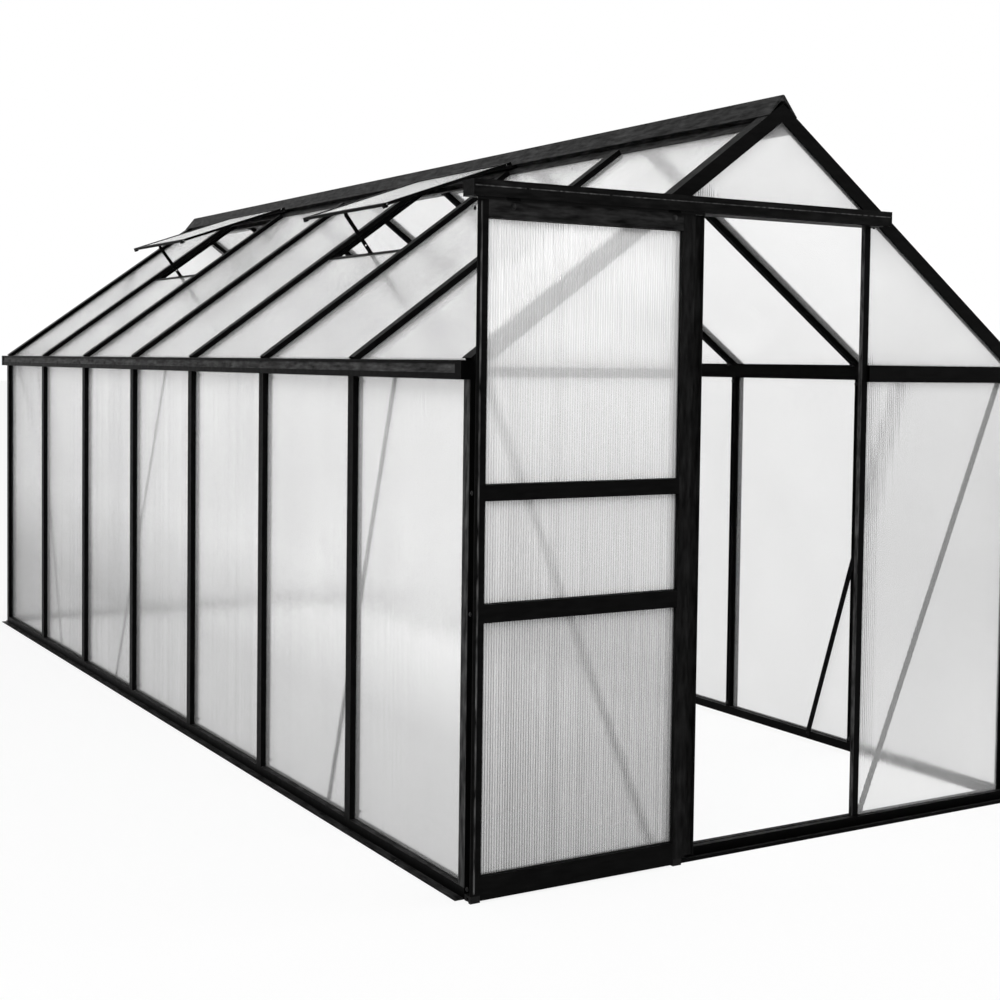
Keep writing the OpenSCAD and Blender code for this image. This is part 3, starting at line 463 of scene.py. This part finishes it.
class Batch:
    """Collects many small solids into one piece."""

    def __init__(self):
        self.verts, self.faces = [], []

    def turned(self, place, out, profile, sides):
        """A solid of revolution: profile is (radius, height) from its foot to its tip."""
        out = Vector(out).normalized()
        right = out.orthogonal().normalized()
        ahead = out.cross(right)
        first = len(self.verts)
        for radius, height in profile:
            for i in range(sides):
                turn = 2 * math.pi * i / sides
                self.verts.append(Vector(place) + out * height
                                  + radius * (math.cos(turn) * right + math.sin(turn) * ahead))
        for row in range(len(profile) - 1):
            a, b = first + row * sides, first + (row + 1) * sides
            self.faces += [(a + i, a + (i + 1) % sides, b + (i + 1) % sides, b + i) for i in range(sides)]
        last = first + (len(profile) - 1) * sides
        self.faces += [tuple(range(first, first + sides))[::-1], tuple(range(last, last + sides))]

    def bolt(self, place, out, radius):
        """Domed head on a washer."""
        washer, head = 0.22 * radius, 0.62 * radius
        self.turned(place, out, [(1.4 * radius, -SUNK), (1.4 * radius, 0.8 * washer), (1.34 * radius, washer),
                                 (radius, washer), (radius, washer + 0.4 * head)]
                    + [(radius * math.cos(t), washer + head * (0.4 + 0.6 * math.sin(t)))
                       for t in np.radians((20, 40, 60, 80))], 20)

    def nut(self, place, out, radius):
        """Hexagon nut on a washer, with the bolt's end past it."""
        washer, high = 0.2 * radius, 0.85 * radius
        self.turned(place, out, [(1.35 * radius, -SUNK), (1.35 * radius, washer)], 20)
        self.turned(place, out, [(radius, washer - SUNK), (radius, washer + 0.9 * high),
                                 (0.88 * radius, washer + high)], 6)
        self.turned(place, out, [(0.52 * radius, washer + high - SUNK), (0.52 * radius, washer + 1.5 * high),
                                 (0.44 * radius, washer + 1.6 * high)], 12)

    def bead(self, start, end, out, width, height):
        """A half-round rib along a line, with ends that taper off."""
        start, end, out = Vector(start), Vector(end), Vector(out).normalized()
        along = (end - start).normalized()
        right = along.cross(out)
        taper = 2 * height
        turns = np.linspace(0, math.pi, 9)
        first = len(self.verts)
        for place, share in ((start, 0.15), (start + along * taper, 1),
                             (end - along * taper, 1), (end, 0.15)):
            for t in turns:
                self.verts.append(place + right * (width / 2 * math.cos(t) * share)
                                  + out * (height * math.sin(t) * share - SUNK))
        count = len(turns)
        for row in range(3):
            a, b = first + row * count, first + (row + 1) * count
            self.faces += [(a + i, a + (i + 1) % count, b + (i + 1) % count, b + i) for i in range(count)]
        last = first + 3 * count
        self.faces += [tuple(range(first, first + count))[::-1], tuple(range(last, last + count))]

    def bar(self, x0, x1, section):
        """A profile along X from its section's (y, z) corners."""
        first, count = len(self.verts), len(section)
        self.verts += [Vector((x, y, z)) for x in (x0, x1) for y, z in section]
        last = first + count
        self.faces += [(first + i, first + (i + 1) % count, last + (i + 1) % count, last + i)
                       for i in range(count)]
        self.faces += [tuple(range(first, last))[::-1], tuple(range(last, last + count))]

    def add(self, name, material, body, slot):
        closed(add_mesh(name, self.verts, self.faces, material, body))


def add_door_fastenings(material):
    """Hanger bolts through the top rail, and screws that hold each rail to the stiles."""
    batch = Batch()
    low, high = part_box("door_top_rail")
    for points in solids("door_hangers"):
        middle = (points[:, 0].min() + points[:, 0].max()) / 2
        batch.bolt((middle, low[1], high[2] - HANGER_BOLT_DROP), (0, -1, 0), BOLT_R)
    rails = [points for node in ("door_top_rail", "door_middle_rails", "door_bottom_rail")
             for points in solids(node)]
    for node, side in (("door_left_stile", -1), ("door_right_stile", 1)):
        low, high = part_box(node)
        outer = low[0] if side < 0 else high[0]
        for points in rails:
            level = (points[:, 2].min() + points[:, 2].max()) / 2
            batch.bolt((outer, (low[1] + high[1]) / 2, level), (side, 0, 0), SCREW_R)
    batch.add("door_fastenings", material, "door", "door_frame")


def add_wall_fastenings(material):
    """Nuts in the posts' slots, at the foot and the head of each post."""
    batch = Batch()
    for node, side in (("left_wall_posts", 1), ("right_wall_posts", -1)):
        for points in solids(node):
            inner = (points[:, 0] * side).max() * side
            middle = (points[:, 1].min() + points[:, 1].max()) / 2
            for level in (points[:, 2].min() + NUT_INSET, points[:, 2].max() - NUT_INSET):
                batch.nut((inner, middle, level), (side, 0, 0), NUT_R)
    batch.add("wall_nuts", material, "frame", "frame")


def add_roof_fastenings(material):
    """Nuts under both ends of each roof bar."""
    batch = Batch()
    for node, side in (("left_roof_bars", -1), ("right_roof_bars", 1)):
        for points in solids(node):
            foot, head = points[points[:, 2].argmin()], points[points[:, 2].argmax()]
            slope = np.array([head[0] - foot[0], 0, head[2] - foot[2]])
            slope /= np.linalg.norm(slope)
            out = np.array([slope[2] * side, 0, abs(slope[0])])
            middle = (points[:, 1].min() + points[:, 1].max()) / 2
            inner, start, end = (points @ out).min(), (points @ slope).min(), (points @ slope).max()
            for at in (start + ROOF_NUT_INSET, end - ROOF_NUT_INSET):
                place = slope * at + out * inner
                place[1] = middle
                batch.nut(place, -out, NUT_R)
    batch.add("roof_nuts", material, "frame", "frame")


def add_brace_fastenings(material):
    """A bolt near both ends of each brace."""
    batch = Batch()
    for node, out in (("left_wall_braces", (1, 0, 0)), ("right_wall_braces", (-1, 0, 0)),
                      ("front_gable_braces", (0, 1, 0)), ("rear_gable_braces", (0, -1, 0))):
        for points in solids(node):
            rising = points[points[:, 2].argsort()]
            low, high = rising[:4].mean(0), rising[-4:].mean(0)
            step = (high - low) / np.linalg.norm(high - low) * BRACE_BOLT_INSET
            face = np.array(out) * np.abs((points - points.mean(0)) @ np.array(out)).max()
            for place in (low + step, high - step):
                batch.bolt(place + face, out, SCREW_R)
    batch.add("brace_bolts", material, "frame", "frame")


def add_front_fastening(material):
    """The bolt under the right end of the front cross bar."""
    batch = Batch()
    low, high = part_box("front_cross_bar")
    batch.bolt((high[0] - SCREW_R * 1.5, (low[1] + high[1]) / 2, low[2]), (0, 0, -1), SCREW_R)
    batch.add("cross_bar_bolt", material, "frame", "frame")


def add_beads(material):
    """The raised lines along the hood and the door's outer stile."""
    hood, hood_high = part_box("door_track")
    batch = Batch()
    level = hood_high[2] - HOOD_BAND - HOOD_BEAD_W / 2
    front = hood[1] + HOOD_STEP
    batch.bead((hood[0] + BEAD_END, front, level), (hood_high[0] - BEAD_END, front, level), (0, -1, 0),
               HOOD_BEAD_W, HOOD_STEP)
    batch.add("hood_bead", material, "frame", "frame")
    low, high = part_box("door_left_stile")
    batch = Batch()
    line = low[0] + STILE_BEAD_IN
    batch.bead((line, low[1], low[2] + STILE_BEAD_END), (line, low[1], high[2] - STILE_BEAD_END), (0, -1, 0),
               STILE_BEAD_W, STILE_BEAD_H)
    batch.add("stile_bead", material, "door", "door_frame")


def add_top_seal(material):
    """A brush on the door's top rail, between its hangers, that reaches up behind the hood's lip."""
    low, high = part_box("door_top_rail")
    left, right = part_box("door_left_stile")[0][0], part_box("door_right_stile")[1][0]
    stops = [left]
    for points in sorted(solids("door_hangers"), key=lambda p: p[:, 0].min()):
        stops += [points[:, 0].min() - SEAL_GAP, points[:, 0].max() + SEAL_GAP]
    stops.append(right)
    front, foot = low[1] + SEAL_IN, high[2] - SUNK
    random = np.random.default_rng(7)
    batch = Batch()
    for x0, x1 in zip(stops[::2], stops[1::2]):
        batch.bar(x0, x1, [(front, foot), (front, foot + SEAL_H),
                           (front + SEAL_T / 2, foot + SEAL_H + SEAL_T / 2),
                           (front + SEAL_T, foot + SEAL_H), (front + SEAL_T, foot)])
        for x in np.arange(x0 + TUFT, x1 - TUFT, TUFT):
            top = foot + SEAL_H + TUFT_H * random.uniform(0.6, 1.0)
            batch.bar(x - TUFT / 4, x + TUFT / 4, [(front, foot + SEAL_H / 2), (front + SEAL_T / 4, top),
                                                   (front + 3 * SEAL_T / 4, top),
                                                   (front + SEAL_T, foot + SEAL_H / 2)])
    batch.add("door_top_seal", material, "door", "door_frame")


# ---------- floor, light and background ----------

def white_where_seen(n, shader, share):
    """Shows a share of plain white to the camera, in reflections and through the sheets."""
    path = n.add("ShaderNodeLightPath")
    seen = n.math("MAXIMUM", path.outputs["Is Camera Ray"],
                  n.math("MAXIMUM", path.outputs["Is Glossy Ray"], path.outputs["Is Transmission Ray"]))
    glow = n.add("ShaderNodeEmission", Color=(1, 1, 1, 1), Strength=1.0)
    return n.add("ShaderNodeMixShader",
                 {"Fac": n.math("MULTIPLY", seen, share), 1: shader.outputs[0], 2: glow.outputs[0]})


def add_floor():
    n = Nodes("floor")
    plain = n.add("ShaderNodeBsdfDiffuse", {"Color": n.mix(n.noise(n.place(), 3), grey(0.80), grey(0.84))})
    half = FLOOR_HALF
    corners = ((-half, -half), (half, -half), (half, half), (-half, half))
    mesh = bpy.data.meshes.new("floor")
    mesh.from_pydata([(x, y, -FLOOR_DROP) for x, y in corners], [], [(0, 1, 2, 3)])
    mesh.materials.append(n.finish(white_where_seen(n, plain, FLOOR_SHARE)))
    floor = bpy.data.objects.new("floor", mesh)
    bpy.context.scene.collection.objects.link(floor)


def add_light():
    world = bpy.data.worlds.new("world")
    world.use_nodes = True
    tree = world.node_tree
    tree.nodes.clear()
    path = tree.nodes.new("ShaderNodeLightPath")
    out = tree.nodes.new("ShaderNodeOutputWorld")
    soft, white = (tree.nodes.new("ShaderNodeBackground") for _ in range(2))
    for node, strength in ((soft, WORLD_SOFT), (white, 1.0)):
        node.inputs["Color"].default_value = (1, 1, 1, 1)
        node.inputs["Strength"].default_value = strength
    seen = path.outputs["Is Camera Ray"]
    for name in ("Is Glossy Ray", "Is Transmission Ray"):
        top = tree.nodes.new("ShaderNodeMath")
        top.operation = "MAXIMUM"
        tree.links.new(seen, top.inputs[0])
        tree.links.new(path.outputs[name], top.inputs[1])
        seen = top.outputs[0]
    mix = tree.nodes.new("ShaderNodeMixShader")
    tree.links.new(seen, mix.inputs["Fac"])
    tree.links.new(soft.outputs[0], mix.inputs[1])
    tree.links.new(white.outputs[0], mix.inputs[2])
    tree.links.new(mix.outputs[0], out.inputs["Surface"])
    bpy.context.scene.world = world
    for name, place, size, power in LAMPS:
        data = bpy.data.lights.new(name, "AREA")
        data.shape = "DISK"
        data.size = size
        data.energy = power
        lamp = bpy.data.objects.new(name, data)
        aim = (Vector(LAMP_AIM) - Vector(place)).to_track_quat("-Z", "Y")
        lamp.matrix_world = Matrix.Translation(place) @ aim.to_matrix().to_4x4()
        bpy.context.scene.collection.objects.link(lamp)


# ---------- everything together ----------

# Coats by node: direction of the streaks, tone of the dust and painted sheen, faces that hold it as a painted
# sheen
COATS = {
    "plain_slope": dict(along="X", nodes=("front_rafters", "rear_rafters", "left_roof_bars",
                                          "right_roof_bars", "front_cross_bar", "front_eave_bars",
                                          "rear_eave_bars")),
    "plain_post": dict(along="Z", nodes=("left_wall_braces", "right_wall_braces", "front_gable_braces",
                                         "rear_gable_braces", "vent_frames", "vent_sills", "vent_stays",
                                         "rear_gable_posts", "left_wall_posts", "right_wall_posts")),
    # gutter, base_side, base_end and side_post: faces picked by their normal are lighter, a painted sheen
    "gutter": dict(along="Y", dust_and_sheen_tone=0.075, faces=("Z", 0.03, 0.11), nodes=("left_gutter", "right_gutter")),
    "base_side": dict(along="Y", dust_and_sheen_tone=0.05, faces=("Z", 0.5, 0.9), nodes=("base_left", "base_right")),
    "base_end": dict(along="X", dust_and_sheen_tone=0.03, faces=("Z", 0.5, 0.9), nodes=("base_front", "base_rear")),
    "side_post": dict(along="Z", dust_and_sheen_tone=0.09, faces=("X", 0.5, 0.9), nodes=("corner_posts", "door_posts")),
    "hood": dict(along="X", dust_and_sheen_tone=0.009, nodes=("door_track",)),
    "top_rail": dict(along="X", dust_and_sheen_tone=0.03, nodes=("door_top_rail",)),
    "ridge": dict(along="Y", dust_and_sheen_tone=0.05, nodes=("ridge_beam",)),
    "close_stile": dict(along="Z", dust_and_sheen_tone=0.014, nodes=("door_right_stile",)),
    "door_plain": dict(along="X", nodes=("door_bottom_rail", "door_middle_rails", "door_left_stile",
                                         "door_hangers")),
}

# Sheets: axis across the flutes, tones by height in metres, the webs' shade at foot and head,
# how steep the skin curves, share of the light that isn't scattered
WALL = ((0.03, 0.62), (0.35, 0.67), (0.7, 0.98), (1.2, 1.0))
FAR_WALL = ((0.0, 0.82), (0.6, 0.88), (1.2, 0.92))
CLEAR = ((0.0, 0.97), (2.0, 1.0))
GABLE = ((0.03, 0.86), (0.7, 0.76), (1.1, 0.82), (1.5, 0.88), (1.9, 0.86))
DOOR = ((0.06, 0.72), (0.5, 0.84), (0.66, 0.86), (0.72, 0.98), (0.94, 0.99), (1.0, 1.0), (1.6, 1.0))
SHEETS = {
    "wall": dict(across="Y", tones=WALL, ribs=(0.05, 0.05), lens=0.1, clear=0.82,
                 nodes=("left_wall_sheets",)),
    "far_wall": dict(across="Y", tones=FAR_WALL, ribs=(0.04, 0.04), lens=0.08, clear=0.9,
                     nodes=("right_wall_sheets",)),
    "roof": dict(across="Y", tones=CLEAR, ribs=(0.03, 0.03), lens=0.08, clear=0.9,
                 nodes=("left_roof_sheets", "right_roof_sheets", "vent_sheets")),
    "gable": dict(across="X", tones=GABLE, ribs=(0.05, 0.05), lens=0.3, clear=0.84,
                  nodes=("front_gable_sheets", "rear_gable_sheets")),
    "door": dict(across="X", tones=DOOR, ribs=(0.9, 0.2), lens=0.5, clear=0.72, nodes=("door_sheets",)),
}


def paint(node, material):
    for place in frame["nodes"][node].material_slots:
        place.material = material


def main():
    bpy.context.scene.view_settings.view_transform = "Standard"
    add_camera()
    add_floor()
    add_light()
    nylon = nylon_material("nylon")
    for row in frame["record"]["subparts"]:
        if row["material_slot"] == "nylon":
            paint(row["node"], nylon)
    for name, look in COATS.items():
        look = dict(look)
        nodes = look.pop("nodes")
        material = coat_material(name + "_coat", **look)
        for node in nodes:
            paint(node, material)
    glazing = {}
    for name, look in SHEETS.items():
        look = dict(look)
        nodes = look.pop("nodes")
        material = sheet_material(name + "_sheet", **look)
        for node in nodes:
            paint(node, material)
            glazing[node] = material
    add_sheets(glazing)
    rubber = nylon_material("rubber")
    add_gaskets("left_wall_gaskets", "left_wall_sheets", WALL_GROOVES, rubber)
    add_gaskets("right_wall_gaskets", "right_wall_sheets", WALL_GROOVES, rubber)
    add_gaskets("door_gaskets", "door_sheets", DOOR_GROOVES, rubber)
    dark = coat_material("fastening_coat", dust_and_sheen_tone=0.05)
    add_door_fastenings(dark)
    add_wall_fastenings(dark)
    add_roof_fastenings(dark)
    add_brace_fastenings(dark)
    add_front_fastening(dark)
    add_top_seal(rubber)
    # The beads' coat is light grey all over, a painted highlight along the raised lines
    add_beads(coat_material("bead_highlight_coat", dust_and_sheen_tone=0.12))


main()
